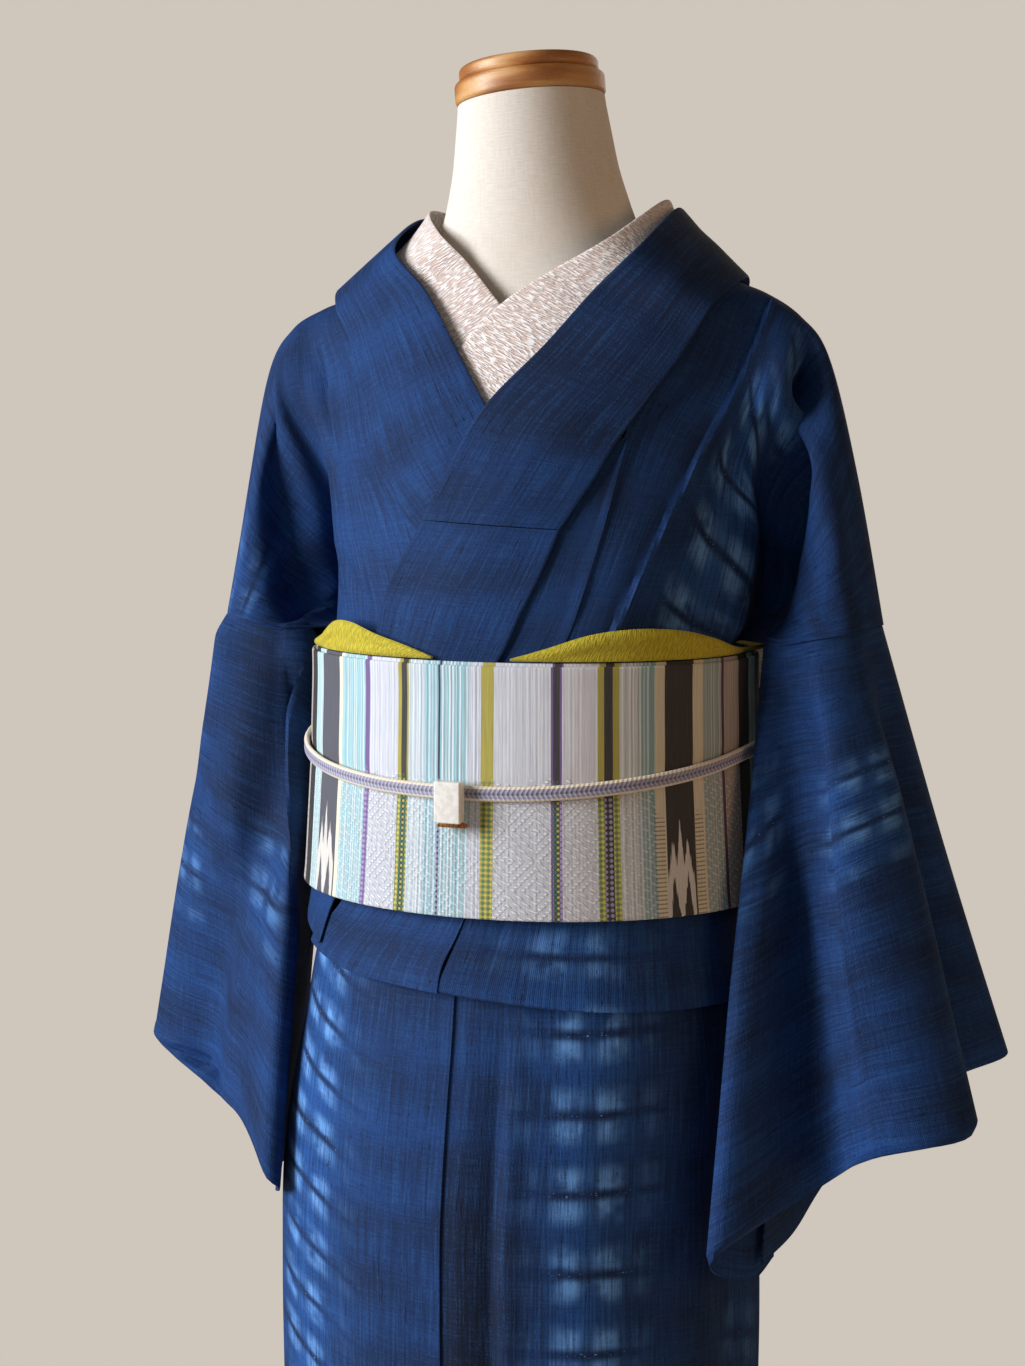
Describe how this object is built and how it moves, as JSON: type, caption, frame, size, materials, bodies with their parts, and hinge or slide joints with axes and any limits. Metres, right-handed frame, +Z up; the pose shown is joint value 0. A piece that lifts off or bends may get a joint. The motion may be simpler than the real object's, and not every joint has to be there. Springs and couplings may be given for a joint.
{
  "type": "tsumugi kimono on a dress form",
  "caption": "Indigo silk kimono, left front over right, tied with a striped obi, worn by a limbless dress form on a round stand.",
  "frame": {"origin": "on the floor under the middle of the stand's round foot", "axes": "+Z up, -Y the front of the garment, +X the wearer's left"},
  "size_m": [0.5994, 0.3799, 1.4949],
  "materials": {
    "indigo_tsumugi": "slubbed silk, mottled indigo dye",
    "pale_crepe": "crepe",
    "striped_sash": "striped weave with raised floats",
    "lime_crepe": "crepe",
    "flat_braid": "braided silk",
    "ivory_ceramic": "glazed ceramic",
    "copper": "polished copper",
    "linen": "stretched linen",
    "turned_wood": "oiled",
    "steel": "satin"
  },
  "bodies": {
    "root": {"left_body_panel": "indigo_tsumugi", "right_body_panel": "indigo_tsumugi", "left_okumi": "indigo_tsumugi", "left_over_collar": "indigo_tsumugi", "left_collar": "indigo_tsumugi", "right_collar": "indigo_tsumugi", "left_sleeve": "indigo_tsumugi", "right_sleeve": "indigo_tsumugi", "left_front_skirt": "indigo_tsumugi", "left_okumi_skirt": "indigo_tsumugi", "right_front_skirt": "indigo_tsumugi", "right_okumi_skirt": "indigo_tsumugi", "left_back_skirt": "indigo_tsumugi", "right_back_skirt": "indigo_tsumugi", "left_inner_band": "pale_crepe", "right_inner_band": "pale_crepe", "obi_inner_wrap": "striped_sash", "obi_outer_wrap": "striped_sash", "obi_drum": "striped_sash", "obi_tail": "striped_sash", "obiage": "lime_crepe", "obijime": "flat_braid", "obidome": "ivory_ceramic", "obidome_bar": "copper", "form_body": "linen", "form_cap_ring": "turned_wood", "form_cap_disc": "turned_wood", "form_pole": "steel", "form_base": "steel"}
  },
  "joints": []
}
